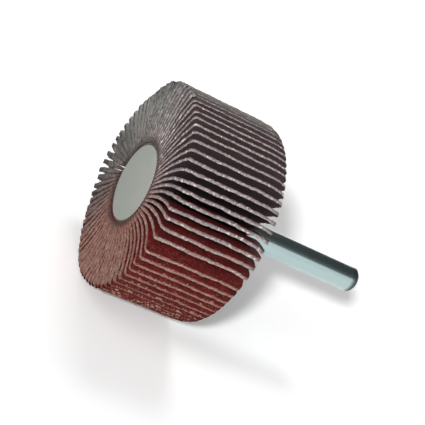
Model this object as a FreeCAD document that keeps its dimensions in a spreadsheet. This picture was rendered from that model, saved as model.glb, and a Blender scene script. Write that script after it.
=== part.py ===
import FreeCAD, Part
import math
import os
import Sketcher

# Mounted flap wheel, in millimetres.
# The wheel's axis is Y, its label side faces -Y and its shank points along +Y. Z is up.
# The origin is where the shank leaves the rear face of the resin core.
# Angles are counted round the axis from +Z, clockwise as seen from the label side.

SIZES = [
    ("wheel_radius", 25.0, "outer radius over the flap tips"),
    ("wheel_width", 25.0, "width of the flaps along the axis"),
    ("rear_recess", 2.5, "how far the core's rear face lies inside the flaps"),
    ("front_recess", 0.3, "how far the label's face lies inside the flaps"),
    ("flap_count", 72, "flaps packed round the core"),
    ("flap_thickness", 0.65, "coated cloth, backing and grain together"),
    ("foot_gap", 0.05, "resin film between two flaps at their feet"),
    ("tongue_depth", 1.0, "how deep the core's flanges grip each flap"),
    ("tongue_play", 0.05, "clearance of a flap in the core's groove"),
    ("seat_play", 0.05, "clearance under a flap's foot"),
    ("foot_lean", 20.5, "lean of a flap at its foot, counter-clockwise from radial"),
    ("foot_length", 5.2, "straight part of a flap from its foot outward"),
    ("tip_lag", 6.2, "how far the mean tip stands counter-clockwise of its foot"),
    ("first_foot", 4.7, "angle of the first flap's foot"),
    ("opening_angle", 87.2, "where the flaps part and leave one wide gap"),
    ("opening_spread", 3.0, "extra angle in that gap"),
    ("broad_sway", 2.0, "slow wander of the tips, two waves round the wheel"),
    ("broad_phase", 217.0, "phase of the slow wander"),
    ("fine_sway", 0.5, "quick wander of the tips, nine waves round the wheel"),
    ("fine_phase", 336.0, "phase of the quick wander"),
    ("front_corner", 0.9, "trimmed corner of the flap tips on the label side"),
    ("rear_corner", 1.4, "trimmed corner of the flap tips on the shank side"),
    ("used_angle", 254.5, "middle of the side where use has pressed the flaps straighter"),
    ("used_reach", 72.5, "how far that side reaches either way"),
    ("used_fade", 28.0, "over how many degrees it fades out at each end"),
    ("used_lean", 6.5, "how much less its flaps lean at their feet"),
    ("used_length", 3.7, "how much shorter the straight part of its flaps is"),
    ("used_lag", 2.0, "how much further back the tips of its flaps stand"),
    ("worn_depth", 3.4, "wear of its front corners, inward from the tips"),
    ("worn_width", 4.5, "wear of its front corners, along the axis"),
    ("front_flange", 2.0, "thickness of the core's flange behind the label"),
    ("rear_flange", 2.0, "thickness of the core's flange on the shank side"),
    ("flange_chamfer", 0.25, "broken edge of the rear flange"),
    ("label_thickness", 0.3, "paper disc glued on the front flange"),
    ("label_margin", 0.45, "how far the disc stays inside the flange's edge"),
    ("shank_radius", 3.0, "plain part that a collet or chuck grips"),
    ("shank_length", 40.0, "from the core's rear face to the free end"),
    ("tip_chamfer", 0.8, "chamfer of the free end"),
    ("knurl_length", 16.5, "part of the shank that is cast into the core"),
    ("knurl_rise", 0.2, "how far the knurl stands over the plain shank"),
    ("knurl_depth", 0.25, "how far its valleys lie under the plain shank"),
    ("knurl_teeth", 16, "straight ridges of the knurl"),
    ("knurl_land", 0.25, "width of a ridge at its top"),
    ("knurl_base", 0.75, "width of a ridge at its foot"),
    ("knurl_chamfer", 0.6, "chamfer of the cast-in end"),
    ("bore_play", 0.02, "clearance of the core's bore over the knurl"),
    ("bore_end_play", 0.5, "room past the cast-in end"),
]

FLAPS_PER_NODE = 2
RIDGE_SINK = 0.3
OVERRUN = 1.0

# Lengths that follow from the sizes, each written once as a cell formula.
FOOT_RADIUS = "sizes.flap_count * (sizes.flap_thickness + sizes.foot_gap) / (2 * pi * cos(sizes.foot_lean))"
HUB_RADIUS = FOOT_RADIUS + " - sizes.seat_play"
FLANGE_RADIUS = FOOT_RADIUS + " + sizes.tongue_depth"
NOTCH_RADIUS = FLANGE_RADIUS + " + sizes.tongue_play"
FLAP_REAR = "sizes.rear_recess"
FLAP_FRONT = "sizes.rear_recess - sizes.wheel_width"
LABEL_FRONT = FLAP_FRONT + " + sizes.front_recess"
CORE_FRONT = LABEL_FRONT + " + sizes.label_thickness"
GROOVE_FRONT = CORE_FRONT + " + sizes.front_flange"
GROOVE_REAR = "-sizes.rear_flange"
KNURL_TOP = "sizes.shank_radius + sizes.knurl_rise"
KNURL_VALLEY = "sizes.shank_radius - sizes.knurl_depth"
BORE_RADIUS = KNURL_TOP + " + sizes.bore_play"
BORE_END = "-sizes.knurl_length - sizes.bore_end_play"


def make_sheet(doc):
    """Put the driving sizes into a spreadsheet, one alias a row."""
    sheet = doc.addObject("Spreadsheet::Sheet", "sizes")
    for row, (alias, value, note) in enumerate(SIZES, start=1):
        sheet.set(f"A{row}", note)
        sheet.set(f"B{row}", str(value))
        sheet.setAlias(f"B{row}", alias)
    doc.recompute()
    return sheet


def origin_feature(body, role):
    """Find one of a body's own planes or axes by its role."""
    for feature in body.Origin.OriginFeatures:
        if feature.Role == role:
            return feature
    raise ValueError(role)


def add_outline(body, plane, corners, name):
    """Draw a closed outline of straight edges, each corner bound to two cell formulas."""
    sketch = body.newObject("Sketcher::SketchObject", name)
    sketch.AttachmentSupport = (origin_feature(body, plane), "")
    sketch.MapMode = "FlatFace"
    places = []
    for across, along in corners:
        places.append(FreeCAD.Vector(sketch.evalExpression(across), sketch.evalExpression(along), 0))
    count = len(corners)
    for index in range(count):
        sketch.addGeometry(Part.LineSegment(places[index], places[(index + 1) % count]))
    for index in range(count):
        sketch.addConstraint(Sketcher.Constraint("Coincident", index, 2, (index + 1) % count, 1))
    for index, (across, along) in enumerate(corners):
        bind_corner(sketch, index, "DistanceX", places[index].x, across)
        bind_corner(sketch, index, "DistanceY", places[index].y, along)
    return sketch


def bind_corner(sketch, edge, kind, value, formula):
    """Hold the start of an edge at a distance from the sketch origin given by a formula."""
    number = sketch.addConstraint(Sketcher.Constraint(kind, -1, 1, edge, 1, value))
    if formula != "0":
        sketch.setExpression(f"Constraints[{number}]", formula)


def add_turned(body, corners, name):
    """Turn an outline of radius and station along Y about the wheel's axis."""
    sketch = add_outline(body, "XY_Plane", corners, name + "_outline")
    turned = body.newObject("PartDesign::Revolution", name)
    turned.Profile = sketch
    turned.ReferenceAxis = (sketch, ["V_Axis"])
    turned.Angle = 360
    return turned


def make_body(doc, label):
    """Start a body whose label is the name of its file."""
    body = doc.addObject("PartDesign::Body", label)
    body.Label = label
    return body


def make_shank(doc):
    """Steel shank: plain where it is gripped, straight-knurled where it is cast in."""
    body = make_body(doc, "shank")
    corners = [
        ("0", "-sizes.knurl_length"),
        (KNURL_VALLEY + " - sizes.knurl_chamfer", "-sizes.knurl_length"),
        (KNURL_VALLEY, "-sizes.knurl_length + sizes.knurl_chamfer"),
        (KNURL_VALLEY, "0"),
        ("sizes.shank_radius", "0"),
        ("sizes.shank_radius", "sizes.shank_length - sizes.tip_chamfer"),
        ("sizes.shank_radius - sizes.tip_chamfer", "sizes.shank_length"),
        ("0", "sizes.shank_length"),
    ]
    add_turned(body, corners, "shank_blank")

    foot = KNURL_VALLEY + f" - {RIDGE_SINK}"
    ridge_corners = [
        ("-sizes.knurl_base / 2", foot),
        ("sizes.knurl_base / 2", foot),
        ("sizes.knurl_land / 2", KNURL_TOP),
        ("-sizes.knurl_land / 2", KNURL_TOP),
    ]
    sketch = add_outline(body, "XZ_Plane", ridge_corners, "knurl_ridge_outline")
    ridge = body.newObject("PartDesign::Pad", "knurl_ridge")
    ridge.Profile = sketch
    ridge.setExpression("Length", "sizes.knurl_length - sizes.knurl_chamfer")
    doc.recompute()

    knurl = body.newObject("PartDesign::PolarPattern", "knurl")
    knurl.Originals = [ridge]
    knurl.Axis = (origin_feature(body, "Y_Axis"), [""])
    knurl.Angle = 360
    knurl.setExpression("Occurrences", "sizes.knurl_teeth")
    body.Tip = knurl
    return body


def make_core(doc):
    """Cast resin core: a spool whose two flanges grip the notched feet of the flaps."""
    body = make_body(doc, "resin_core")
    edge = "sizes.flange_chamfer"
    corners = [
        (BORE_RADIUS, "0"),
        (f"{FLANGE_RADIUS} - {edge}", "0"),
        (FLANGE_RADIUS, f"-{edge}"),
        (FLANGE_RADIUS, GROOVE_REAR),
        (HUB_RADIUS, GROOVE_REAR),
        (HUB_RADIUS, GROOVE_FRONT),
        (FLANGE_RADIUS, GROOVE_FRONT),
        (FLANGE_RADIUS, CORE_FRONT),
        ("0", CORE_FRONT),
        ("0", BORE_END),
        (BORE_RADIUS, BORE_END),
    ]
    add_turned(body, corners, "core_casting")
    return body


def make_label(doc):
    """Blank paper disc glued on the core's front flange."""
    label = doc.addObject("Part::Cylinder", "label_disc")
    label.Label = "label_disc"
    label.Placement.Rotation = FreeCAD.Rotation(FreeCAD.Vector(1, 0, 0), 90)
    label.setExpression("Placement.Base.y", CORE_FRONT)
    label.setExpression("Radius", f"{FLANGE_RADIUS} - sizes.label_margin")
    label.setExpression("Height", "sizes.label_thickness")
    return label


def make_blank(doc):
    """Flap as it is die-cut: notched at its foot for the core's flanges, with trimmed tips."""
    body = make_body(doc, "flap_blank")
    tongue_front = GROOVE_FRONT + " + sizes.tongue_play"
    tongue_rear = GROOVE_REAR + " - sizes.tongue_play"
    under_foot = f"{FOOT_RADIUS} - {OVERRUN}"
    over_rim = f"sizes.wheel_radius + {OVERRUN}"
    corners = [
        (tongue_front, under_foot),
        (tongue_front, NOTCH_RADIUS),
        (FLAP_FRONT, NOTCH_RADIUS),
        (FLAP_FRONT, "sizes.wheel_radius - sizes.front_corner"),
        (f"{FLAP_FRONT} + sizes.front_corner + {OVERRUN}", over_rim),
        (f"{FLAP_REAR} - sizes.rear_corner - {OVERRUN}", over_rim),
        (FLAP_REAR, "sizes.wheel_radius - sizes.rear_corner"),
        (FLAP_REAR, NOTCH_RADIUS),
        (tongue_rear, NOTCH_RADIUS),
        (tongue_rear, under_foot),
    ]
    pad = body.newObject("PartDesign::Pad", "flap_blank_pad")
    pad.Profile = add_outline(body, "YZ_Plane", corners, "flap_outline")
    pad.Midplane = True
    pad.setExpression("Length", "sizes.wheel_radius")
    return body


def outward(angle, radius=1.0):
    """Point at an angle round the axis, or the unit vector of a heading."""
    return FreeCAD.Vector(radius * math.sin(math.radians(angle)), 0, radius * math.cos(math.radians(angle)))


def clockwise(heading):
    """Unit vector to the clockwise side of a heading."""
    return outward(heading + 90)


def use(foot, sheet):
    """How much of the used side's shape a flap has, from 0 to 1, faded in and out smoothly."""
    off = abs((foot - sheet.used_angle + 180) % 360 - 180)
    share = min(1.0, max(0.0, (sheet.used_reach - off) / sheet.used_fade))
    return share ** 2 * (3 - 2 * share)


def tip_angle(foot, sheet):
    """Angle of a flap's tip: its foot, less its lag, plus how this flap wanders."""
    lag = sheet.tip_lag + sheet.used_lag * use(foot, sheet)
    past_opening = ((foot - sheet.opening_angle) / 360) % 1
    spread = sheet.opening_spread * (0.5 - past_opening)
    broad = sheet.broad_sway * math.sin(math.radians(2 * foot + sheet.broad_phase))
    fine = sheet.fine_sway * math.sin(math.radians(9 * foot + sheet.fine_phase))
    return foot - lag + spread + broad + fine


def line_meets_circle(start, heading, reach):
    """Where a line from a point meets a circle round the axis, on its way outward."""
    direction = outward(heading)
    lean = start.dot(direction)
    return start + direction * (math.sqrt(lean ** 2 - start.dot(start) + reach ** 2) - lean)


def arc_meets_circle(centre, radius, reach, near):
    """Where an arc's circle meets a circle round the axis, on the side near a given point."""
    apart = centre.Length
    along = (apart ** 2 + reach ** 2 - radius ** 2) / (2 * apart)
    aside = math.sqrt(reach ** 2 - along ** 2)
    toward = centre / apart
    across = FreeCAD.Vector(toward.z, 0, -toward.x)
    ends = [toward * along + across * aside, toward * along - across * aside]
    return min(ends, key=lambda point: (point - near).Length)


def flap_section(foot, sheet):
    """Bent section of one flap: a straight foot that leans back, then one belly up to the tip."""
    used = use(foot, sheet)
    foot_radius = sheet.evalExpression(FOOT_RADIUS)
    foot_heading = foot - (sheet.foot_lean - sheet.used_lean * used)
    foot_point = outward(foot, foot_radius)
    joint = foot_point + outward(foot_heading, sheet.foot_length - sheet.used_length * used)
    tip_point = outward(tip_angle(foot, sheet), sheet.wheel_radius)

    chord = tip_point - joint
    chord_heading = math.degrees(math.atan2(chord.x, chord.z))
    half_turn = (chord_heading - foot_heading + 180) % 360 - 180
    belly_radius = chord.Length / (2 * math.sin(math.radians(half_turn)))
    belly_centre = joint + clockwise(foot_heading) * belly_radius

    sides = []
    for side in (sheet.flap_thickness / 2, -sheet.flap_thickness / 2):
        aside = clockwise(foot_heading) * side
        start = line_meets_circle(foot_point + aside, foot_heading, foot_radius)
        middle = belly_centre - clockwise(foot_heading + half_turn) * (belly_radius - side)
        end = arc_meets_circle(belly_centre, abs(belly_radius - side), sheet.wheel_radius, tip_point)
        sides.append((start, joint + aside, middle, end))

    front, back = sides
    edges = [
        Part.makeLine(front[0], front[1]),
        Part.Arc(front[1], front[2], front[3]).toShape(),
        Part.makeLine(front[3], back[3]),
        Part.Arc(back[3], back[2], back[1]).toShape(),
        Part.makeLine(back[1], back[0]),
        Part.makeLine(back[0], front[0]),
    ]
    return Part.Face(Part.Wire(edges))


def worn_corner(share, sheet):
    """What use has taken off a flap's front corner: the room outside one arc across the corner."""
    front = sheet.evalExpression(FLAP_FRONT)
    rim = sheet.wheel_radius
    depth = sheet.worn_depth * share
    width = sheet.worn_width * share
    inset = 1 - math.sqrt(0.5)
    low = FreeCAD.Vector(0, front, rim - depth)
    middle = FreeCAD.Vector(0, front + inset * width, rim - inset * depth)
    high = FreeCAD.Vector(0, front + width, rim)
    around = Part.makePolygon([
        high,
        FreeCAD.Vector(0, front + width, rim + OVERRUN),
        FreeCAD.Vector(0, front - OVERRUN, rim + OVERRUN),
        FreeCAD.Vector(0, front - OVERRUN, rim - depth),
        low,
    ])
    face = Part.Face(Part.Wire([Part.Arc(low, middle, high).toShape()] + around.Edges))
    face.translate(FreeCAD.Vector(-rim / 2, 0, 0))
    return face.extrude(FreeCAD.Vector(rim, 0, 0))


def make_flap(foot, sheet, blank):
    """One flap: its bent section drawn out along the axis and cut to the die-cut outline, less its wear."""
    section = flap_section(foot, sheet)
    section.translate(FreeCAD.Vector(0, sheet.evalExpression(FLAP_FRONT) - OVERRUN, 0))
    bent = section.extrude(FreeCAD.Vector(0, sheet.wheel_width + 2 * OVERRUN, 0))
    outline = blank.copy()
    used = use(foot, sheet)
    if sheet.worn_depth * used > sheet.front_corner:
        outline = outline.cut(worn_corner(used, sheet))
    outline.rotate(FreeCAD.Vector(), FreeCAD.Vector(0, 1, 0), (foot + tip_angle(foot, sheet)) / 2)
    return bent.common(outline).Solids[0]


def make_flap_nodes(doc, sheet, blank):
    """All flaps, a few neighbours to a node, each its own solid."""
    pitch = 360 / sheet.flap_count
    feet = [sheet.first_foot + pitch * number for number in range(int(sheet.flap_count))]
    nodes = []
    for start in range(0, len(feet), FLAPS_PER_NODE):
        flaps = [make_flap(foot, sheet, blank.Shape) for foot in feet[start:start + FLAPS_PER_NODE]]
        name = f"flap_pair_{start // FLAPS_PER_NODE + 1:02d}"
        node = doc.addObject("Part::Feature", name)
        node.Label = name
        node.Shape = Part.makeCompound(flaps)
        nodes.append(node)
    return nodes


def check(doc, nodes):
    """Stop if an object failed to compute or a sub-part has no sound shape."""
    for item in doc.Objects:
        if "Invalid" in item.State or "Error" in item.State:
            raise RuntimeError(f"{item.Label} failed: {item.State}")
    for node in nodes:
        if node.Shape.isNull() or not node.Shape.isValid():
            raise RuntimeError(f"{node.Label} has no valid shape")


def main():
    """Build the wheel and write one file for each node."""
    doc = FreeCAD.newDocument("flap_wheel")
    sheet = make_sheet(doc)
    nodes = [make_shank(doc), make_core(doc), make_label(doc)]
    blank = make_blank(doc)
    doc.recompute()
    nodes += make_flap_nodes(doc, sheet, blank)
    doc.recompute()
    check(doc, nodes)

    os.makedirs("parts", exist_ok=True)
    for node in nodes:
        node.Shape.exportStep(f"parts/{node.Label}.step")
        box = node.Shape.BoundBox
        print(f"{node.Label}: {len(node.Shape.Solids)} solids, {node.Shape.Volume:.1f} mm3, "
              f"y {box.YMin:.2f} to {box.YMax:.2f}, z {box.ZMin:.3f} to {box.ZMax:.3f}")


main()
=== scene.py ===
"""Dress a mounted flap wheel: coated cloth flaps, cast resin core, blank paper disc and steel shank."""

import enum
import logging
import math
import random
from collections.abc import Callable
from dataclasses import dataclass, field

import bpy
from mathutils import Matrix, Vector


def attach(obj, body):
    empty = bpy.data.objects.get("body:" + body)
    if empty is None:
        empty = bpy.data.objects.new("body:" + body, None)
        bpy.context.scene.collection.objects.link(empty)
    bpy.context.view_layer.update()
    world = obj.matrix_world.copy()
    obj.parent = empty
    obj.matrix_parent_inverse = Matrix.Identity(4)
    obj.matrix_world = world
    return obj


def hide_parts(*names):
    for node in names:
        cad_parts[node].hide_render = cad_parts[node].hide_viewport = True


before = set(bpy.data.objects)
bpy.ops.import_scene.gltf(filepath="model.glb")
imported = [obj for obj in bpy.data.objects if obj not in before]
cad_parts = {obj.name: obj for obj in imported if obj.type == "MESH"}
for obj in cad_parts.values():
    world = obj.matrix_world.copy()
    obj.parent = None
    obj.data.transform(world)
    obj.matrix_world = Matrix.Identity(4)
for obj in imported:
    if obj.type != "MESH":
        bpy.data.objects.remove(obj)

LOG = logging.getLogger("flap_wheel")
MM = 0.001
FLAP_NODES = 36
FLAPS_PER_NODE = 2
WAVE_SPAN = math.pi / 10  # a wave texture of scale 1 repeats over this length
NEAR = 0.01  # slack of a test on a place, in millimetres

# Short names for Blender's types, and what the inputs of a node take.
Material = bpy.types.Material
Piece = bpy.types.Object
Socket = bpy.types.NodeSocket
Level = float | Socket
Colour = tuple | Socket


class Face(enum.IntEnum):
    """Material places on a flap, in the order of its slots."""

    GRAIN = 0
    CLOTH = 1
    GRAIN_EDGE = 2
    CLOTH_EDGE = 3
    LINT = 4


class Turn(enum.Enum):
    """Quarter turns about X between the flat plate, the bending plane and the wheel."""

    TO_BENDING = -90
    TO_WHEEL = 90


def tint(red: float, green: float, blue: float) -> tuple[float, float, float, float]:
    """Turn a screen colour into the linear values that shaders take.

    Args:
        red: Red from 0 to 255.
        green: Green from 0 to 255.
        blue: Blue from 0 to 255.

    Returns:
        Linear red, green and blue, and an alpha of 1.
    """
    def linear(level: float) -> float:
        """Linear value of one channel."""
        share = level / 255
        return share / 12.92 if share <= 0.04045 else ((share + 0.055) / 1.055) ** 2.4

    return (linear(red), linear(green), linear(blue), 1.0)


def outward(angle: float, radius: float = 1.0) -> Vector:
    """Point in the bending plane at an angle clockwise from its Y axis.

    Args:
        angle: Degrees clockwise from the top of the wheel.
        radius: Distance from the wheel's axis.

    Returns:
        The point, with the wheel's X and Z as its X and Y.
    """
    return Vector((radius * math.sin(math.radians(angle)), radius * math.cos(math.radians(angle))))


class Bench:
    """The hand moves that every piece is made with. Sizes are millimetres until a piece is finished."""

    @staticmethod
    def clear() -> None:
        """Leave nothing selected."""
        if bpy.context.object and bpy.context.object.mode != "OBJECT":
            bpy.ops.object.mode_set(mode="OBJECT")
        bpy.ops.object.select_all(action="DESELECT")

    @staticmethod
    def take(piece: Piece) -> None:
        """Select one piece alone and make it active.

        Args:
            piece: The piece to work on.
        """
        Bench.clear()
        piece.select_set(True)
        bpy.context.view_layer.objects.active = piece

    @staticmethod
    def edit(piece: Piece, kind: str = "VERT") -> None:
        """Open a piece in edit mode with nothing selected.

        Args:
            piece: The piece to open.
            kind: VERT, EDGE or FACE.
        """
        Bench.take(piece)
        bpy.ops.object.mode_set(mode="EDIT")
        bpy.ops.mesh.select_mode(type=kind)
        bpy.ops.mesh.select_all(action="DESELECT")

    @staticmethod
    def close() -> None:
        """Go back to object mode."""
        bpy.ops.object.mode_set(mode="OBJECT")

    @staticmethod
    def pick(piece: Piece, kind: str, wanted: Callable[..., bool]) -> None:
        """Select the vertices, edges or faces whose middle passes a test, and open the piece.

        Args:
            piece: The piece.
            kind: VERT, EDGE or FACE.
            wanted: Test that takes the middle of an element, and for faces its normal too.
        """
        Bench.edit(piece, kind)
        Bench.close()
        mesh = piece.data
        if kind == "VERT":
            for vertex in mesh.vertices:
                vertex.select = bool(wanted(vertex.co))
        elif kind == "EDGE":
            for edge in mesh.edges:
                ends = [mesh.vertices[index].co for index in edge.vertices]
                edge.select = bool(wanted((ends[0] + ends[1]) / 2))
        else:
            for face in mesh.polygons:
                face.select = bool(wanted(face.center, face.normal))
        bpy.ops.object.mode_set(mode="EDIT")

    @staticmethod
    def bar(radius: float, start: float, end: float, segments: int) -> Piece:
        """Turn a plain bar or disc about the wheel's axis.

        Args:
            radius: Its radius.
            start: Where it starts along the axis.
            end: Where it ends along the axis.
            segments: How many sides stand for its round.

        Returns:
            The bar.
        """
        Bench.clear()
        bpy.ops.mesh.primitive_cylinder_add(vertices=segments, radius=radius, depth=end - start,
                                            location=(0, (start + end) / 2, 0), rotation=(math.radians(90), 0, 0))
        bpy.ops.object.transform_apply()
        return bpy.context.object

    @staticmethod
    def slice(piece: Piece, point: tuple, normal: tuple) -> None:
        """Cut a line of edges across a whole piece.

        Args:
            piece: The piece.
            point: A point on the cutting plane.
            normal: The plane's normal.
        """
        Bench.edit(piece)
        bpy.ops.mesh.select_all(action="SELECT")
        bpy.ops.mesh.bisect(plane_co=point, plane_no=normal, threshold=1e-5)
        Bench.close()

    @staticmethod
    def modify(piece: Piece, kind: str, **settings) -> None:
        """Add a modifier, set it and apply it.

        Args:
            piece: The piece.
            kind: Blender's name of the modifier type.
            settings: Values for the modifier.
        """
        Bench.take(piece)
        modifier = piece.modifiers.new(kind.lower(), kind)
        for name, value in settings.items():
            setattr(modifier, name, value)
        bpy.ops.object.modifier_apply(modifier=modifier.name)

    @staticmethod
    def turn(piece: Piece, quarter: Turn) -> None:
        """Turn a piece about X through the origin and keep the turn in its mesh.

        Args:
            piece: The piece.
            quarter: Which way to turn it.
        """
        Bench.take(piece)
        piece.rotation_euler = (math.radians(quarter.value), 0, 0)
        bpy.ops.object.transform_apply()

    @staticmethod
    def finish(piece: Piece, name: str, slot: str, nodes: list[str], smooth: float = 40) -> None:
        """Bring a piece to metres, smooth it and tie it to the frame.

        Args:
            piece: The piece, in millimetres and in the wheel's frame.
            name: Its name.
            slot: Not used.
            nodes: The nodes that it stands for.
            smooth: Edges sharper than this many degrees stay sharp.
        """
        Bench.take(piece)
        piece.scale = (MM, MM, MM)
        bpy.ops.object.transform_apply()
        bpy.ops.object.shade_smooth_by_angle(angle=math.radians(smooth))
        piece.name = name
        piece.data.name = name
        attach(piece, "root")
        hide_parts(*nodes)
        LOG.info("%s: %d faces, stands for %s", name, len(piece.data.polygons), ", ".join(nodes))


class Board:
    """The node tree of a material or of the sky, with short ways to add and join nodes."""

    def __init__(self, name: str, sky: bool = False) -> None:
        """Start a material with a plain surface shader, or a sky with its background.

        Args:
            name: Its name.
            sky: Whether it is the sky.
        """
        self.owner = (bpy.data.worlds if sky else bpy.data.materials).new(name)
        self.owner.use_nodes = True
        self.tree = self.owner.node_tree
        self.shader = self.tree.nodes["Background" if sky else "Principled BSDF"]
        self.place = self.tree.nodes.new("ShaderNodeTexCoord")

    def add(self, kind: str, inputs: dict | None = None, **settings) -> bpy.types.Node:
        """Add a node, set it and feed its inputs.

        Args:
            kind: Blender's node type.
            inputs: Input name or number to a value or to another node's output.
            settings: Values for the node itself.

        Returns:
            The new node.
        """
        node = self.tree.nodes.new(kind)
        for name, value in settings.items():
            setattr(node, name, value)
        for key, value in (inputs or {}).items():
            self.feed(node.inputs[key], value)
        return node

    def feed(self, target: Socket, value: Level | Colour) -> None:
        """Join an output to an input, or set the input's value.

        Args:
            target: The input.
            value: A number, a colour or another node's output.
        """
        if isinstance(value, Socket):
            self.tree.links.new(value, target)
        else:
            target.default_value = value

    def axis(self, letter: str, space: str = "Object") -> Socket:
        """One coordinate of the place that is shaded.

        Args:
            letter: X, Y or Z.
            space: Object for metres in the wheel's frame, or UV for millimetres on the flat flap.

        Returns:
            The coordinate.
        """
        return self.add("ShaderNodeSeparateXYZ", {"Vector": self.place.outputs[space]}).outputs[letter]

    def noise(self, scale: float, detail: float = 3.0, rough: float = 0.55, where: Socket | None = None) -> Socket:
        """Cloudy values from 0 to 1.

        Args:
            scale: Clouds per metre.
            detail: Octaves.
            rough: How strong the small ones are.
            where: Coordinates, or the object's own.

        Returns:
            The value output.
        """
        node = self.add("ShaderNodeTexNoise", {"Vector": where or self.place.outputs["Object"], "Scale": scale,
                                               "Detail": detail, "Roughness": rough})
        return node.outputs["Fac"]

    def ramp(self, value: Socket, stops: list[tuple]) -> Socket:
        """Colour a value by a row of stops.

        Args:
            value: The value from 0 to 1.
            stops: Place and colour of each stop, in order.

        Returns:
            The colour output.
        """
        node = self.add("ShaderNodeValToRGB", {"Fac": value})
        ladder = node.color_ramp.elements
        for _ in range(len(stops) - 2):
            ladder.new(0.5)
        for element, (place, colour) in zip(ladder, stops):
            element.position = place
            element.color = colour
        return node.outputs["Color"]

    def span(self, value: Socket, low: float, high: float, to_low: float = 0.0, to_high: float = 1.0) -> Socket:
        """Stretch a value from one range to another, held at its ends.

        Args:
            value: The value.
            low: Start of its range.
            high: End of its range.
            to_low: What the start becomes.
            to_high: What the end becomes.

        Returns:
            The new value.
        """
        node = self.add("ShaderNodeMapRange", {"Value": value, "From Min": low, "From Max": high,
                                               "To Min": to_low, "To Max": to_high})
        return node.outputs["Result"]

    def blend(self, share: Level, first: Colour, second: Colour, how: str = "MIX") -> Socket:
        """Mix two colours.

        Args:
            share: How much of the second, a number or a value output.
            first: A colour or a colour output.
            second: A colour or a colour output.
            how: Blender's blend type.

        Returns:
            The mixed colour.
        """
        node = self.add("ShaderNodeMix", {"Factor": share, 6: first, 7: second}, data_type="RGBA", blend_type=how)
        return node.outputs[2]

    def maths(self, how: str, first: Level, second: Level) -> Socket:
        """Work out one number from two.

        Args:
            how: Blender's operation.
            first: A number or a value output.
            second: A number or a value output.

        Returns:
            The result.
        """
        return self.add("ShaderNodeMath", {0: first, 1: second}, operation=how).outputs[0]

    def bump(self, height: Socket, depth: float, strength: float = 1.0) -> None:
        """Give the surface relief.

        Args:
            height: The height from 0 to 1.
            depth: What a height of 1 stands for, in metres.
            strength: How much of it shows.
        """
        node = self.add("ShaderNodeBump", {"Height": height, "Distance": depth, "Strength": strength})
        self.set(Normal=node.outputs["Normal"])

    def set(self, **values: Level | Colour) -> None:
        """Set or join the shader's inputs.

        Args:
            values: Input name, with underscores for its spaces, to a value or to a node's output.
        """
        for name, value in values.items():
            self.feed(self.shader.inputs[name.replace("_", " ")], value)

    def shade_with(self, node: bpy.types.Node) -> None:
        """Put another shader in the place of the plain one.

        Args:
            node: The shader.
        """
        self.tree.links.new(node.outputs[0], self.tree.nodes["Material Output"].inputs["Surface"])
        self.tree.nodes.remove(self.shader)


@dataclass(frozen=True)
class GrainFinish:
    """Red-brown abrasive grain bonded in resin on the counter-clockwise side of the flaps."""

    name: str = "abrasive_grain"
    deep: tuple = tint(66, 18, 20)
    middle: tuple = tint(86, 22, 22)
    bright: tuple = tint(140, 30, 18)
    dust: tuple = tint(158, 98, 88)
    glazed: tuple = tint(122, 97, 93)
    grain: float = 3600.0
    patch: float = 900.0
    dusty_tip: tuple = (12.0, 16.7, 0.1, 0.6)
    glazed_side: tuple = (0.0, -0.008, 0.0, 0.8)

    def material(self) -> Material:
        """Build the finish: grain in patches, with pale dust that thickens towards the tip.

        Returns:
            The material.
        """
        board = Board(self.name)
        patches = board.noise(self.patch, 3, 0.6)
        grit = board.noise(self.grain, 2, 0.7)
        stir = board.maths("ADD", board.maths("MULTIPLY", grit, 0.55), board.maths("MULTIPLY", patches, 0.5))
        colour = board.ramp(stir, [(0.38, self.deep), (0.52, self.middle), (0.7, self.bright)])
        along = board.axis("X", "UV")
        share = board.span(along, *self.dusty_tip)
        specks = board.span(board.noise(2300, 2, 0.6), 0.56, 0.66)
        across = board.axis("X")
        colour = board.blend(board.span(across, *self.glazed_side), colour, self.glazed)
        board.set(Base_Color=board.blend(board.maths("MULTIPLY", specks, share), colour, self.dust),
                  Roughness=0.62, Specular_IOR_Level=0.3)
        board.bump(grit, 0.00012)
        return board.owner


@dataclass(frozen=True)
class ClothFinish:
    """Dark resin-sized cloth on the clockwise side of the flaps."""

    name: str = "backing_cloth"
    dark: tuple = tint(60, 47, 50)
    light: tuple = tint(108, 92, 94)
    dusty: tuple = tint(164, 164, 158)
    thread_mm: float = 0.42
    dusty_side: tuple = (0.001, -0.009, 0.0, 0.85)

    def material(self) -> Material:
        """Build the finish.

        Returns:
            The material.
        """
        board = Board(self.name)
        waves = {"Vector": board.place.outputs["UV"], "Scale": WAVE_SPAN / self.thread_mm, "Distortion": 0.6}
        warp = board.add("ShaderNodeTexWave", waves, bands_direction="X").outputs["Fac"]
        weft = board.add("ShaderNodeTexWave", waves, bands_direction="Y").outputs["Fac"]
        weave = board.maths("MULTIPLY", board.maths("ADD", warp, weft), 0.5)
        fuzz = board.noise(2500, 3, 0.7)
        tone = board.maths("ADD", board.maths("MULTIPLY", weave, 0.4), board.maths("MULTIPLY", fuzz, 0.6))
        colour = board.ramp(tone, [(0.3, self.dark), (0.72, self.light)])
        across = board.axis("X")
        side = board.span(board.maths("ADD", across, board.maths("MULTIPLY", fuzz, 0.006)), *self.dusty_side)
        board.set(Base_Color=board.blend(side, colour, self.dusty), Roughness=0.9, Specular_IOR_Level=0.2)
        board.bump(weave, 0.00008)
        return board.owner


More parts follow.
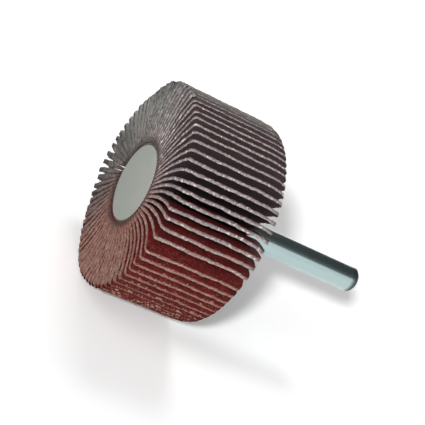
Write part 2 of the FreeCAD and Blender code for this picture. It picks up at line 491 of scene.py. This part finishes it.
@dataclass(frozen=True)
class CutEdgeFinish:
    """Cut edge of a flap: frayed threads or broken grain, with pale lint caught on it."""

    name: str
    dark: tuple
    light: tuple
    speck: tuple
    speck_share: float
    warm_dark: tuple
    warm_light: tuple
    used_dark: tuple
    used_light: tuple
    # Painted shade: tint that darkens the front edges of the lower part, and how far from the front face it reaches.
    front_shade: tuple = tint(110, 84, 84)
    glue: tuple = tint(62, 55, 55)
    low_part: tuple = (0.018, 0.004)
    used_side: tuple = (0.004, -0.007)
    sooty_tip: tuple = (10.5, 16.0, 0.0, 0.16)
    worn_spots: tuple = (0.35, 0.65, -0.13, 0.11)
    front_shade_reach: tuple = (-21.4, -22.1)
    glued_foot: tuple = (1.6, 3.2, 0.75, 0.0)

    def material(self) -> Material:
        """Build the finish: pinkish on top, warm below, dirty grey on the used side, dark with glue at the foot, and
        painted shade low in front.

        Returns:
            The material.
        """
        board = Board(self.name)
        fray = board.noise(1900, 4, 0.7)
        cool = board.ramp(fray, [(0.34, self.dark), (0.62, self.light)])
        warm = board.ramp(fray, [(0.34, self.warm_dark), (0.62, self.warm_light)])
        drift = board.maths("MULTIPLY", board.noise(160, 2), 0.012)
        lower = board.span(board.maths("ADD", board.axis("Z"), drift), *self.low_part)
        side = board.span(board.maths("ADD", board.axis("X"), drift), *self.used_side)
        to_tip = board.axis("X", "UV")
        soot = board.span(to_tip, *self.sooty_tip)
        worn = board.maths("ADD", board.maths("SUBTRACT", fray, soot),
                           board.span(board.noise(350, 2), *self.worn_spots))
        used = board.ramp(worn, [(0.3, self.used_dark), (0.62, self.used_light)])
        specks = board.span(board.noise(1500, 1, 0.4), 1 - self.speck_share - 0.05, 1 - self.speck_share)
        shown = board.maths("MULTIPLY", specks, board.span(board.maths("MAXIMUM", side, lower), 0.0, 1.0, 1.0, 0.35))
        colour = board.blend(shown, board.blend(side, board.blend(lower, cool, warm), used), self.speck)
        # Painted shade: the front edges of the lower part are half multiplied by a dull tint, darker towards the
        # bottom.
        front_shade_share = board.maths("MULTIPLY", lower, board.span(board.axis("Y", "UV"), *self.front_shade_reach))
        colour = board.blend(front_shade_share, colour, board.blend(0.5, colour, self.front_shade, "MULTIPLY"))
        colour = board.blend(board.span(to_tip, *self.glued_foot), colour, self.glue)
        board.set(Base_Color=colour, Roughness=0.92, Specular_IOR_Level=0.15)
        board.bump(fray, 0.00015)
        return board.owner


@dataclass(frozen=True)
class LintFinish:
    """Pale cotton lint pulled out of the cut edges."""

    name: str = "lint"
    pale: tuple = tint(220, 206, 198)
    shade: tuple = tint(184, 164, 158)
    warm_pale: tuple = tint(196, 152, 134)
    warm_shade: tuple = tint(150, 102, 92)
    low_part: tuple = (0.012, -0.003)

    def material(self) -> Material:
        """Build the finish: whiter on top, warmer below.

        Returns:
            The material.
        """
        board = Board(self.name)
        fluff = board.noise(4000, 2)
        colour = board.blend(board.span(board.axis("Z"), *self.low_part),
                             board.ramp(fluff, [(0.35, self.shade), (0.6, self.pale)]),
                             board.ramp(fluff, [(0.35, self.warm_shade), (0.6, self.warm_pale)]))
        board.set(Base_Color=colour, Roughness=0.95, Specular_IOR_Level=0.1)
        return board.owner


@dataclass(frozen=True)
class SteelFinish:
    """Ground and polished steel with fine turning lines round the shank."""

    name: str = "ground_steel"
    base: tuple = tint(177, 198, 198)
    # Painted shade: dark colour from cut_from to the end of the bar, standing for the darker reflection in the
    # chamfer.
    cut: tuple = tint(84, 92, 95)
    cut_from: float = 0.0378
    cut_fade: float = 0.001
    line_step: float = 9000.0

    def material(self) -> Material:
        """Build the finish: bright along the bar; rougher on the cut end, with painted shade there for the darker
        reflection in its chamfer.

        Returns:
            The material.
        """
        board = Board(self.name)
        stretched = board.add("ShaderNodeMapping", {"Vector": board.place.outputs["Object"],
                                                    "Scale": (0.02, 1.0, 0.02)}).outputs["Vector"]
        lines = board.noise(self.line_step, 2, 0.6, stretched)
        smears = board.noise(220, 3, 0.6)
        # Painted shade on the last two millimetres and the end; the rougher polish there is the end's real dullness.
        end = board.span(board.axis("Y"), self.cut_from, self.cut_from + self.cut_fade)
        polish = board.span(board.maths("ADD", lines, smears), 0.6, 1.4, 0.2, 0.26)
        board.set(Base_Color=board.blend(end, self.base, self.cut), Metallic=1.0,
                  Roughness=board.maths("MAXIMUM", polish, board.maths("MULTIPLY", end, 0.5)))
        board.bump(lines, 0.000004, 0.12)
        return board.owner


@dataclass(frozen=True)
class ResinFinish:
    """Filled casting resin, dull and a little uneven."""

    name: str = "cast_resin"
    dark: tuple = tint(40, 35, 35)
    light: tuple = tint(88, 80, 78)

    def material(self) -> Material:
        """Build the finish.

        Returns:
            The material.
        """
        board = Board(self.name)
        clouds = board.noise(700, 4, 0.6)
        board.set(Base_Color=board.ramp(clouds, [(0.35, self.dark), (0.65, self.light)]), Roughness=0.55)
        board.bump(clouds, 0.0001)
        return board.owner


@dataclass(frozen=True)
class PaperFinish:
    """Blank grey-green paper with faint blotches."""

    name: str = "blank_paper"
    base: tuple = tint(156, 162, 153)
    worn: tuple = tint(164, 165, 158)
    fleck: tuple = tint(120, 124, 118)
    fibre: float = 5200.0

    def material(self) -> Material:
        """Build the finish.

        Returns:
            The material.
        """
        board = Board(self.name)
        blotches = board.span(board.noise(110, 2), 0.4, 0.62)
        fibres = board.noise(self.fibre, 3, 0.6)
        colour = board.blend(blotches, self.base, self.worn)
        board.set(Base_Color=board.blend(board.span(fibres, 0.3, 0.7, 0.0, 0.08), colour, self.fleck), Roughness=0.6)
        board.bump(fibres, 0.00001, 0.5)
        return board.owner


@dataclass
class Flaps:
    """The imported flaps: one flat flap is die-cut and laminated once, then copied and bent to its place."""

    count: int = 72
    thickness: float = 0.65
    foot_gap: float = 0.05
    width: float = 24.85
    rear: float = 2.5
    tip_radius: float = 24.72
    tip_slant: float = 0.106
    foot_lean: float = 20.5
    foot_length: float = 5.2
    tip_lag: float = 6.2
    first_foot: float = 4.7
    opening_angle: float = 87.2
    opening_spread: float = 3.0
    broad_sway: float = 2.0
    broad_phase: float = 217.0
    fine_sway: float = 0.5
    fine_phase: float = 336.0
    flat_length: float = 16.7
    notch: float = 1.2
    foot_start: float = 0.14
    tongue_rear: float = -2.1
    tongue_front: float = -19.8
    front_round: float = 0.8
    rear_round: float = 1.7
    grain_layer: float = 0.24
    fray: float = 0.08
    used_angle: float = 254.5
    used_reach: float = 72.5
    used_fade: float = 28.0
    used_lean: float = 6.5
    used_length: float = 3.7
    used_lag: float = 2.0
    worn_depth: float = 1.5
    worn_more: float = 1.5
    worn_most: float = 228.0
    worn_width: float = 6.0
    worn_fade: float = 20.0
    felted: tuple = ((168.0, 62.0, 1.2), (336.0, 38.0, 0.72))
    matted: tuple = ((250.0, 28.0, 0.75),)
    fluff_fade: float = 18.0
    fringe_angle: float = 132.0
    loose_angle: float = 105.0
    steps_along: int = 26
    steps_across: int = 60
    free_from: float = 5.0
    rear_curl: float = 5.5
    front_curl: float = 3.0
    finishes: list[Material] = field(default_factory=list)

    def foot_radius(self) -> float:
        """Radius at which the feet just pack.

        Returns:
            The radius in millimetres.
        """
        pitch = self.thickness + self.foot_gap
        return self.count * pitch / (2 * math.pi * math.cos(math.radians(self.foot_lean)))

    @staticmethod
    def off(foot: float, middle: float) -> float:
        """How far round the wheel a flap stands from an angle.

        Args:
            foot: Angle of the flap's foot.
            middle: The angle to measure from.

        Returns:
            Degrees from 0 to 180.
        """
        return abs((foot - middle + 180) % 360 - 180)

    def use(self, foot: float) -> float:
        """How much use has pressed a flap straighter and worn its front corner.

        Args:
            foot: Angle of the flap's foot.

        Returns:
            The share from 0 to 1.
        """
        share = min(1.0, max(0.0, (self.used_reach - self.off(foot, self.used_angle)) / self.used_fade))
        return share ** 2 * (3 - 2 * share)

    def fluff(self, foot: float, zones: tuple) -> float:
        """How much the front edge of a flap is fluffed up, so that it closes with its neighbours.

        Args:
            foot: Angle of the flap's foot.
            zones: Middle, reach and millimetres of each part of the wheel where that happens.

        Returns:
            The most that it is fluffed up, in millimetres.
        """
        return max(level * min(1.0, max(0.0, (reach - self.off(foot, middle)) / self.fluff_fade))
                   for middle, reach, level in zones)

    def tip_angle(self, foot: float) -> float:
        """Angle of a flap's tip: its foot, less its lag, plus how this flap wanders.

        Args:
            foot: Angle of the flap's foot.

        Returns:
            The angle in degrees.
        """
        lag = self.tip_lag + self.used_lag * self.use(foot)
        past_opening = ((foot - self.opening_angle) / 360) % 1
        spread = self.opening_spread * (0.5 - past_opening)
        broad = self.broad_sway * math.sin(math.radians(2 * foot + self.broad_phase))
        fine = self.fine_sway * math.sin(math.radians(9 * foot + self.fine_phase))
        return foot - lag + spread + broad + fine

    def die_cut(self) -> Piece:
        """Cut one flat flap with its notches and rounded tip corners, and laminate it.

        Returns:
            The flat flap: X along it from the foot, Y along the wheel's axis, grain up.
        """
        front = self.rear - self.width
        Bench.clear()
        bpy.ops.mesh.primitive_plane_add(size=1, location=(0, 0, 0))
        flat = bpy.context.object
        flat.name = "flat_flap"
        bpy.ops.object.mode_set(mode="EDIT")
        bpy.ops.transform.resize(value=(self.flat_length - self.notch, self.width, 1))
        middle = (self.flat_length + self.notch) / 2
        bpy.ops.transform.translate(value=(middle, self.rear - self.width / 2, 0))
        Bench.close()

        for station in (self.tongue_rear, self.tongue_front):
            Bench.slice(flat, (0, station, 0), (0, 1, 0))
        Bench.pick(flat, "EDGE", lambda at: at.x < self.notch + NEAR
                   and self.tongue_front < at.y < self.tongue_rear)
        bpy.ops.mesh.extrude_region_move(TRANSFORM_OT_translate={"value": (self.foot_start - self.notch, 0, 0)})
        Bench.close()
        for corner, size in ((front, self.front_round), (self.rear, self.rear_round)):
            Bench.pick(flat, "VERT", lambda at, y=corner: at.x > self.flat_length - NEAR and abs(at.y - y) < NEAR)
            bpy.ops.mesh.bevel(offset=size, segments=6, affect="VERTICES", profile=0.5)
            Bench.close()

        for step in range(1, self.steps_along):
            station = self.notch + (self.flat_length - self.notch) * (step / self.steps_along)
            Bench.slice(flat, (station, 0, 0), (1, 0, 0))
        for step in range(1, self.steps_across):
            Bench.slice(flat, (0, front + self.width * step / self.steps_across, 0), (0, 1, 0))
        Bench.modify(flat, "SOLIDIFY", thickness=self.thickness, offset=0.0)
        Bench.slice(flat, (0, 0, self.thickness / 2 - self.grain_layer), (0, 0, 1))
        for side in (1, -1):
            Bench.pick(flat, "VERT", lambda at, way=side: at.x > self.flat_length - self.rear_round - 0.1
                       and at.z * way > self.thickness / 2 - NEAR)
            bpy.ops.transform.translate(value=(-side * self.tip_slant, 0, 0))
            Bench.close()
        self.mark(flat)
        return flat

    def pull(self, place: Vector) -> dict[str, float]:
        """How much each later bend moves a point of the flat flap, or of the lint on it.

        Args:
            place: The point.

        Returns:
            The weight for each vertex group, from 0 to 1.
        """
        reach = min(1.0, max(0.0, (place.x - self.free_from) / (self.flat_length - self.free_from)))
        to_rear = min(1.0, max(0.0, (place.y - (self.rear - self.rear_curl)) / self.rear_curl))
        from_front = max(0.0, place.y - (self.rear - self.width))
        return {"free_end": reach ** 1.5, "rear_curl": reach ** 2 * to_rear ** 2,
                "front_curl": reach ** 2 * max(0.0, 1 - from_front / self.front_curl) ** 2,
                "worn_corner": reach * max(0.0, 1 - from_front / self.worn_width) ** 1.5}

    def mark(self, flat: Piece) -> None:
        """Give the flat flap its finishes, its cloth map and the groups that later steps work on.

        Args:
            flat: The flat flap.
        """
        for finish in self.finishes:
            flat.data.materials.append(finish)
        skin = self.thickness / 2
        boundary = skin - self.grain_layer
        for face in flat.data.polygons:
            if face.normal.z > 0.5:
                face.material_index = Face.GRAIN
            elif face.normal.z < -0.5:
                face.material_index = Face.CLOTH
            else:
                face.material_index = Face.GRAIN_EDGE if face.center.z > boundary else Face.CLOTH_EDGE
        sheet = flat.data.uv_layers.active
        sheet.name = "cloth"
        for loop in flat.data.loops:
            place = flat.data.vertices[loop.vertex_index].co
            sheet.data[loop.index].uv = (place.x, place.y)

        rim = {index for face in flat.data.polygons if face.material_index >= Face.GRAIN_EDGE
               for index in face.vertices}
        names = ("rim", "free_end", "rear_curl", "front_curl", "worn_corner",
                 "felt_grain", "felt_cloth", "mat_grain", "mat_cloth")
        groups = {name: flat.vertex_groups.new(name=name) for name in names}
        for vertex in flat.data.vertices:
            for name, weight in self.pull(vertex.co).items():
                groups[name].add([vertex.index], weight, "REPLACE")
            if vertex.co.y - (self.rear - self.width) < 0.6 and vertex.index in rim:
                side = "grain" if vertex.co.z > 0 else "cloth"
                along = max(0.0, (vertex.co.x - self.notch) / (self.flat_length - self.notch))
                groups["felt_" + side].add([vertex.index], along, "REPLACE")
                groups["mat_" + side].add([vertex.index], min(along / 0.55, (1.08 - along) / 0.53), "REPLACE")
            if vertex.index in rim and vertex.co.x > self.notch + 0.8:
                groups["rim"].add([vertex.index], 1.0, "REPLACE")

    def bend_line(self, foot: float) -> tuple[Piece, float]:
        """Draw the line that one flap follows: straight from its foot, then one belly up to its tip.

        Args:
            foot: Angle of the flap's foot.

        Returns:
            The curve, and its length.
        """
        used = self.use(foot)
        heading = foot - (self.foot_lean - self.used_lean * used)
        start = outward(foot, self.foot_radius())
        joint = start + outward(heading, self.foot_length - self.used_length * used)
        chord = outward(self.tip_angle(foot), self.tip_radius) - joint
        half_turn = (math.degrees(math.atan2(chord.x, chord.y)) - heading + 180) % 360 - 180
        radius = chord.length / (2 * math.sin(math.radians(half_turn)))
        centre = joint + outward(heading + 90, radius)
        points = [start + (joint - start) * (step / 4) for step in range(4)]
        points += [centre - outward(heading + 90 + 2 * half_turn * step / 16, radius) for step in range(17)]

        line = bpy.data.curves.new("bend_line", "CURVE")
        line.dimensions = "2D"
        spline = line.splines.new("POLY")
        spline.points.add(len(points) - 1)
        for target, point in zip(spline.points, points):
            target.co = (point.x, point.y, 0, 1)
        guide = bpy.data.objects.new("bend_line", line)
        bpy.context.collection.objects.link(guide)
        length = sum((after - before).length for before, after in zip(points, points[1:]))
        return guide, length

    def catch_lint(self, flap: Piece, draw: random.Random, share: float) -> None:
        """Set tufts of lint on the cut edges of a flat flap.

        Args:
            flap: The flat flap.
            draw: Source of chance.
            share: How much of the tip is fringed, from 0 to 1.
        """
        front = self.rear - self.width
        own = len(flap.data.vertices)
        Bench.edit(flap, "FACE")
        flap.active_material_index = Face.LINT
        for _ in range(draw.randint(7, 12) + round(60 * share)):
            size = draw.uniform(0.09, 0.16) * (1 + 0.7 * share)
            if draw.random() < 0.7 + 0.2 * share:
                height = draw.uniform(-0.2, 0.25 + 0.2 * share)
                at = (self.flat_length - size * 0.6 - height * self.tip_slant * 2 / self.thickness,
                      draw.uniform(front + 1.5, self.rear - 1.8), height)
                form = (1.0, draw.uniform(1.0, 1.9 + 1.5 * share), 1.0)
            else:
                at = (draw.uniform(4.0, self.flat_length - 1.5), front + size * 0.6, draw.uniform(-0.2, 0.2))
                form = (draw.uniform(1.0, 1.9), 1.0, 1.0)
            bpy.ops.mesh.primitive_ico_sphere_add(subdivisions=1, radius=size, location=at,
                                                  rotation=(draw.random() * 3, 0, 0), scale=form)
            bpy.ops.object.material_slot_assign()
            bpy.ops.mesh.select_all(action="DESELECT")
        Bench.close()
        for vertex in flap.data.vertices[own:]:
            for name, weight in self.pull(vertex.co).items():
                flap.vertex_groups[name].add([vertex.index], weight, "REPLACE")

    def bend(self, flat: Piece, number: int, drift: Piece, clouds: bpy.types.Texture) -> Piece:
        """Copy the flat flap, rough its edges, let it warp a little and bend it to its place.

        Args:
            flat: The flat flap.
            number: Which flap, from 0.
            drift: Empty that shifts the warp from flap to flap.
            clouds: Texture of the warp.

        Returns:
            The bent flap in the wheel's frame.
        """
        foot = self.first_foot + 360 / self.count * number
        draw = random.Random(number + 1)
        flap = flat.copy()
        flap.data = flat.data.copy()
        bpy.context.collection.objects.link(flap)
        guide, length = self.bend_line(foot)

        fringe = max(0.0, math.cos(math.radians(self.tip_angle(foot) - self.fringe_angle))) ** 4
        self.catch_lint(flap, draw, fringe)
        Bench.edit(flap)
        flap.vertex_groups.active_index = flap.vertex_groups["rim"].index
        bpy.ops.object.vertex_group_select()
        bpy.ops.transform.resize(value=(1, 1, 1 + self.fray * (1 + 4 * fringe) / self.thickness),
                                 center_override=(0, 0, 0))
        bpy.ops.transform.vertex_random(offset=self.fray, uniform=1.0, normal=0.0, seed=number)
        Bench.close()

        drift.location = (0, 0, 40.0 * number)
        bpy.context.view_layer.update()
        warp = {"texture": clouds, "texture_coords": "OBJECT", "texture_coords_object": drift, "direction": "Z"}
        for kind, level in (("felt", self.fluff(foot, self.felted)), ("mat", self.fluff(foot, self.matted))):
            for side, way in (("grain", 1), ("cloth", -1)) if level else ():
                Bench.modify(flap, "DISPLACE", **warp, strength=way * level, mid_level=0.0,
                             vertex_group=f"{kind}_{side}")
        loose = max(0.0, math.cos(math.radians(self.tip_angle(foot) - self.loose_angle)))
        Bench.modify(flap, "DISPLACE", **warp, strength=0.45 + 0.55 * loose ** 4, mid_level=0.5,
                     vertex_group="free_end")
        for group, depth in (("rear_curl", -draw.uniform(0.55, 1.0)), ("front_curl", draw.uniform(-0.25, 0.2))):
            Bench.modify(flap, "DISPLACE", direction="Z", strength=depth, mid_level=0.0, vertex_group=group)
        used = self.use(foot)
        if used:
            more = max(0.0, 1 - self.off(foot, self.worn_most) / self.worn_fade)
            depth = self.worn_depth + self.worn_more * more
            Bench.modify(flap, "DISPLACE", direction="X", mid_level=0.0, vertex_group="worn_corner",
                         strength=-depth * used * draw.uniform(0.8, 1.1))
        flap.scale.x = length / self.flat_length
        Bench.take(flap)
        bpy.ops.object.transform_apply()
        Bench.turn(flap, Turn.TO_BENDING)
        Bench.modify(flap, "CURVE", object=guide, deform_axis="POS_X")
        bpy.data.objects.remove(guide)
        Bench.turn(flap, Turn.TO_WHEEL)
        return flap

    def build(self) -> None:
        """Make every flap and join neighbours into one piece for each node."""
        flat = self.die_cut()
        clouds = bpy.data.textures.new("warp", "CLOUDS")
        clouds.noise_scale = 6.0
        drift = bpy.data.objects.new("drift", None)
        bpy.context.collection.objects.link(drift)
        for node in range(FLAP_NODES):
            first = node * FLAPS_PER_NODE
            pair = [self.bend(flat, number, drift, clouds) for number in range(first, first + FLAPS_PER_NODE)]
            Bench.take(pair[0])
            for flap in pair:
                flap.select_set(True)
            bpy.ops.object.join()
            Bench.finish(pair[0], f"flaps_{node + 1:02d}", "abrasive_cloth", [f"flap_pair_{node + 1:02d}"])
        bpy.data.objects.remove(drift)
        bpy.data.objects.remove(flat)


@dataclass
class Core:
    """Cast resin core: a turned spool, with resin squeezed up round the paper disc and crept up the shank."""

    flange: float = 9.564
    hub: float = 8.514
    front: float = -21.9
    groove_front: float = -19.9
    groove_rear: float = -2.0
    bore: float = 3.22
    bore_end: float = -17.0
    bead_radius: float = 9.34
    bead_size: float = 0.14
    bead_place: float = -21.94
    collar_radius: float = 3.12
    collar_size: float = 0.16
    collar_place: float = 0.01
    smear_angle: float = 326.0
    edge_round: float = 0.25
    segments: int = 144

    @staticmethod
    def ring(radius: float, size: float, station: float, segments: int) -> Piece:
        """Lay a ring of resin round the wheel's axis.

        Args:
            radius: Radius of its middle line.
            size: Radius of its section.
            station: Where it lies along the axis.
            segments: How many sides stand for its round.

        Returns:
            The ring.
        """
        bpy.ops.mesh.primitive_torus_add(major_segments=segments, minor_segments=10, major_radius=radius,
                                         minor_radius=size, location=(0, station, 0),
                                         rotation=(math.radians(90), 0, 0))
        bpy.ops.object.transform_apply()
        return bpy.context.object

    def build(self, finish: Material) -> None:
        """Make the core.

        Args:
            finish: Its material.
        """
        core = Bench.bar(self.flange, self.front, 0.0, self.segments)
        for station in (self.groove_front, self.groove_rear):
            Bench.slice(core, (0, station, 0), (0, 1, 0))
        Bench.pick(core, "FACE", lambda at, normal: abs(normal.y) < 0.5
                   and self.groove_front < at.y < self.groove_rear)
        bpy.ops.mesh.extrude_region()
        share = self.hub / self.flange
        bpy.ops.transform.resize(value=(share, 1, share), center_override=(0, 0, 0))
        Bench.close()
        Bench.pick(core, "FACE", lambda at, normal: normal.y > 0.9 and at.y > -NEAR)
        bpy.ops.mesh.inset(thickness=self.flange - self.bore)
        bpy.ops.mesh.extrude_region_move(TRANSFORM_OT_translate={"value": (0, self.bore_end, 0)})
        Bench.close()
        Bench.pick(core, "EDGE", lambda at: at.y > -NEAR and math.hypot(at.x, at.z) > self.flange - 0.05)
        bpy.ops.mesh.bevel(offset=self.edge_round, segments=3)
        Bench.close()

        collar = self.ring(self.collar_radius, self.collar_size, self.collar_place, self.segments)
        bead = self.ring(self.bead_radius, self.bead_size, self.bead_place, self.segments * 2)
        smear = bead.vertex_groups.new(name="smear")
        for vertex in bead.data.vertices:
            place = math.atan2(vertex.co.x, vertex.co.z) - math.radians(self.smear_angle)
            smear.add([vertex.index], max(0.0, math.cos(place)) ** 8, "REPLACE")
        ooze = bpy.data.textures.new("ooze", "CLOUDS")
        ooze.noise_scale = 0.9
        Bench.modify(bead, "DISPLACE", texture=ooze, texture_coords="LOCAL", strength=0.22, mid_level=0.55)
        Bench.modify(bead, "DISPLACE", texture=ooze, texture_coords="LOCAL", strength=0.7, mid_level=0.2,
                     vertex_group="smear")
        Bench.take(core)
        bead.select_set(True)
        collar.select_set(True)
        bpy.ops.object.join()
        core.data.materials.clear()
        core.data.materials.append(finish)
        Bench.finish(core, "core_casting", "resin", ["resin_core"])


@dataclass
class Label:
    """Blank paper disc, its edge softened."""

    radius: float = 9.1
    face: float = -22.2
    thickness: float = 0.3
    edge_round: float = 0.08
    segments: int = 160

    def build(self, finish: Material) -> None:
        """Make the disc.

        Args:
            finish: Its material.
        """
        disc = Bench.bar(self.radius, self.face, self.face + self.thickness, self.segments)
        Bench.pick(disc, "EDGE", lambda at: at.y < self.face + NEAR)
        bpy.ops.mesh.bevel(offset=self.edge_round, segments=3)
        Bench.close()
        disc.data.materials.append(finish)
        Bench.finish(disc, "paper_disc", "label", ["label_disc"], 20)


@dataclass
class Shank:
    """Steel shank: plain and chamfered where it shows, knurled where it is cast in."""

    radius: float = 3.0
    length: float = 40.0
    chamfer: float = 0.8
    root: float = -16.5
    valley: float = 2.75
    ridge: float = 3.2
    ridges: int = 16
    ridge_share: float = 0.34
    edge_round: float = 0.12
    segments: int = 96

    def build(self, finish: Material) -> None:
        """Make the shank.

        Args:
            finish: Its material.
        """
        shank = Bench.bar(self.radius, 0.0, self.length, self.segments)
        Bench.pick(shank, "EDGE", lambda at: at.y > self.length - NEAR)
        bpy.ops.mesh.bevel(offset=self.chamfer, segments=1)
        Bench.close()
        Bench.pick(shank, "EDGE", lambda at: at.y > self.length - self.chamfer - NEAR)
        bpy.ops.mesh.bevel(offset=self.edge_round, segments=3)
        Bench.close()

        Bench.pick(shank, "FACE", lambda at, normal: normal.y < -0.9)
        bpy.ops.mesh.inset(thickness=self.radius - self.valley)
        bpy.ops.mesh.extrude_region_move(TRANSFORM_OT_translate={"value": (0, self.root, 0)})
        Bench.close()
        pitch = 360 / self.ridges
        Bench.pick(shank, "FACE", lambda at, normal: at.y < -1 and abs(normal.y) < 0.5
                   and (math.degrees(math.atan2(at.x, at.z)) % pitch) < pitch * self.ridge_share)
        bpy.ops.mesh.extrude_region()
        share = self.ridge / self.valley
        bpy.ops.transform.resize(value=(share, 1, share), center_override=(0, 0, 0))
        Bench.close()
        shank.data.materials.append(finish)
        Bench.finish(shank, "shank_bar", "steel", ["shank"], 30)


@dataclass
class Studio:
    """Floor, lights and camera."""

    floor_height: float = -24.98
    eye: tuple = (257.66, -146.01, 163.90)
    sight: tuple = (-0.76438, 0.42760, -0.48257)
    roll: float = 39.41
    focal_px: float = 1477.3
    frame_px: float = 425.0
    sensor: float = 36.0
    suns: tuple = (((0.665, -0.545, 0.53), 0.82, 5.0), ((0.29, -0.575, 0.765), 0.15, 36.0),
                   ((-0.50, 0.10, 0.85), 0.20, 18.0))
    sky_level: float = 0.17
    floor_pale: float = 0.45
    floor_white: float = 1.2
    flag_place: tuple = (-0.283, 0.4, 0.334)
    flag_size: tuple = (1.916, 1.6, 1.0)
    flag_tilt: float = -16.6
    flag_glow: tuple = (0.3, 0.958, 0.06, 0.22)

    @staticmethod
    def seen(board: Board) -> Socket:
        """Tell the rays that look at a surface or the sky from the ones that light the object.

        Args:
            board: The node tree of the surface or the sky.

        Returns:
            1 for camera, glossy and transmission rays, and 0 for the others.
        """
        rays = board.add("ShaderNodeLightPath").outputs
        through = board.maths("MAXIMUM", rays["Is Glossy Ray"], rays["Is Transmission Ray"])
        return board.maths("MAXIMUM", rays["Is Camera Ray"], through)

    def camera(self) -> None:
        """Stand the camera where the photograph was taken from."""
        data = bpy.data.cameras.new("view")
        data.sensor_width = self.sensor
        data.lens = self.focal_px / self.frame_px * self.sensor
        data.clip_start = 0.01
        camera = bpy.data.objects.new("view", data)
        bpy.context.scene.collection.objects.link(camera)
        turn = Vector(self.sight).to_track_quat("-Z", "Y").to_matrix().to_4x4()
        camera.matrix_world = (Matrix.Translation(Vector(self.eye) * MM) @ turn
                               @ Matrix.Rotation(math.radians(self.roll), 4, "Z"))
        bpy.context.scene.camera = camera
        bpy.context.scene.view_settings.view_transform = "Standard"

    def sun(self, place: tuple, level: float, softness: float) -> None:
        """Add a lamp that is far away.

        Args:
            place: Where it stands from the wheel.
            level: How much of a white surface's light it gives.
            softness: Its width in degrees.
        """
        data = bpy.data.lights.new("sun", "SUN")
        data.energy = level * math.pi
        data.angle = math.radians(softness)
        lamp = bpy.data.objects.new("sun", data)
        bpy.context.scene.collection.objects.link(lamp)
        lamp.location = place
        lamp.rotation_euler = (-Vector(place)).to_track_quat("-Z", "Y").to_euler()

    def floor(self) -> None:
        """Lay the floor: pale for the light that it gives back, and white where it is seen."""
        Bench.clear()
        bpy.ops.mesh.primitive_plane_add(size=6, location=(0, 0, self.floor_height * MM))
        floor = bpy.context.object
        floor.name = "floor"
        board = Board("floor_paint")
        colour = board.span(self.seen(board), 0, 1, self.floor_pale, self.floor_white)
        board.shade_with(board.add("ShaderNodeBsdfDiffuse", {"Color": colour}))
        floor.data.materials.append(board.owner)

    def flag(self) -> None:
        """Hang a dark card over the shank that only its polish sees, for the dark band along it."""
        Bench.clear()
        bpy.ops.mesh.primitive_plane_add(size=1, location=self.flag_place)
        card = bpy.context.object
        card.name = "flag"
        card.scale = self.flag_size
        bpy.ops.object.transform_apply(location=False, rotation=False)
        card.rotation_euler.y = math.radians(self.flag_tilt)
        card.visible_camera = card.visible_diffuse = card.visible_transmission = card.visible_shadow = False
        board = Board("flag_cloth")
        glow = board.span(board.axis("X"), *self.flag_glow)
        board.shade_with(board.add("ShaderNodeEmission", {"Strength": glow}))
        card.data.materials.append(board.owner)

    def sky(self) -> None:
        """Light the scene evenly and show white behind it."""
        board = Board("studio", sky=True)
        bpy.context.scene.world = board.owner
        board.set(Color=(1, 1, 1, 1), Strength=board.span(self.seen(board), 0, 1, self.sky_level, 1.0))

    def build(self) -> None:
        """Set up the whole studio, with a lamp beside the camera, a broad one over it and one behind the wheel."""
        self.camera()
        self.floor()
        self.flag()
        self.sky()
        for place, level, softness in self.suns:
            self.sun(place, level, softness)


def main() -> None:
    """Build and dress every piece, then set the studio."""
    logging.basicConfig(level=logging.INFO, format="%(name)s %(message)s")
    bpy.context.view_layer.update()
    Studio().build()
    edges = [
        CutEdgeFinish("grain_edge", tint(90, 64, 66), tint(148, 128, 129), tint(216, 206, 202), 0.28,
                      tint(122, 56, 50), tint(190, 128, 114), tint(78, 76, 74), tint(138, 136, 132)),
        CutEdgeFinish("cloth_edge", tint(128, 120, 121), tint(180, 172, 171), tint(226, 220, 216), 0.34,
                      tint(152, 104, 94), tint(210, 170, 153), tint(96, 95, 92), tint(158, 157, 152)),
    ]
    finishes = [GrainFinish().material(), ClothFinish().material()] + [edge.material() for edge in edges]
    Flaps(finishes=finishes + [LintFinish().material()]).build()
    Core().build(ResinFinish().material())
    Label().build(PaperFinish().material())
    Shank().build(SteelFinish().material())


if __name__ == "__main__":
    main()
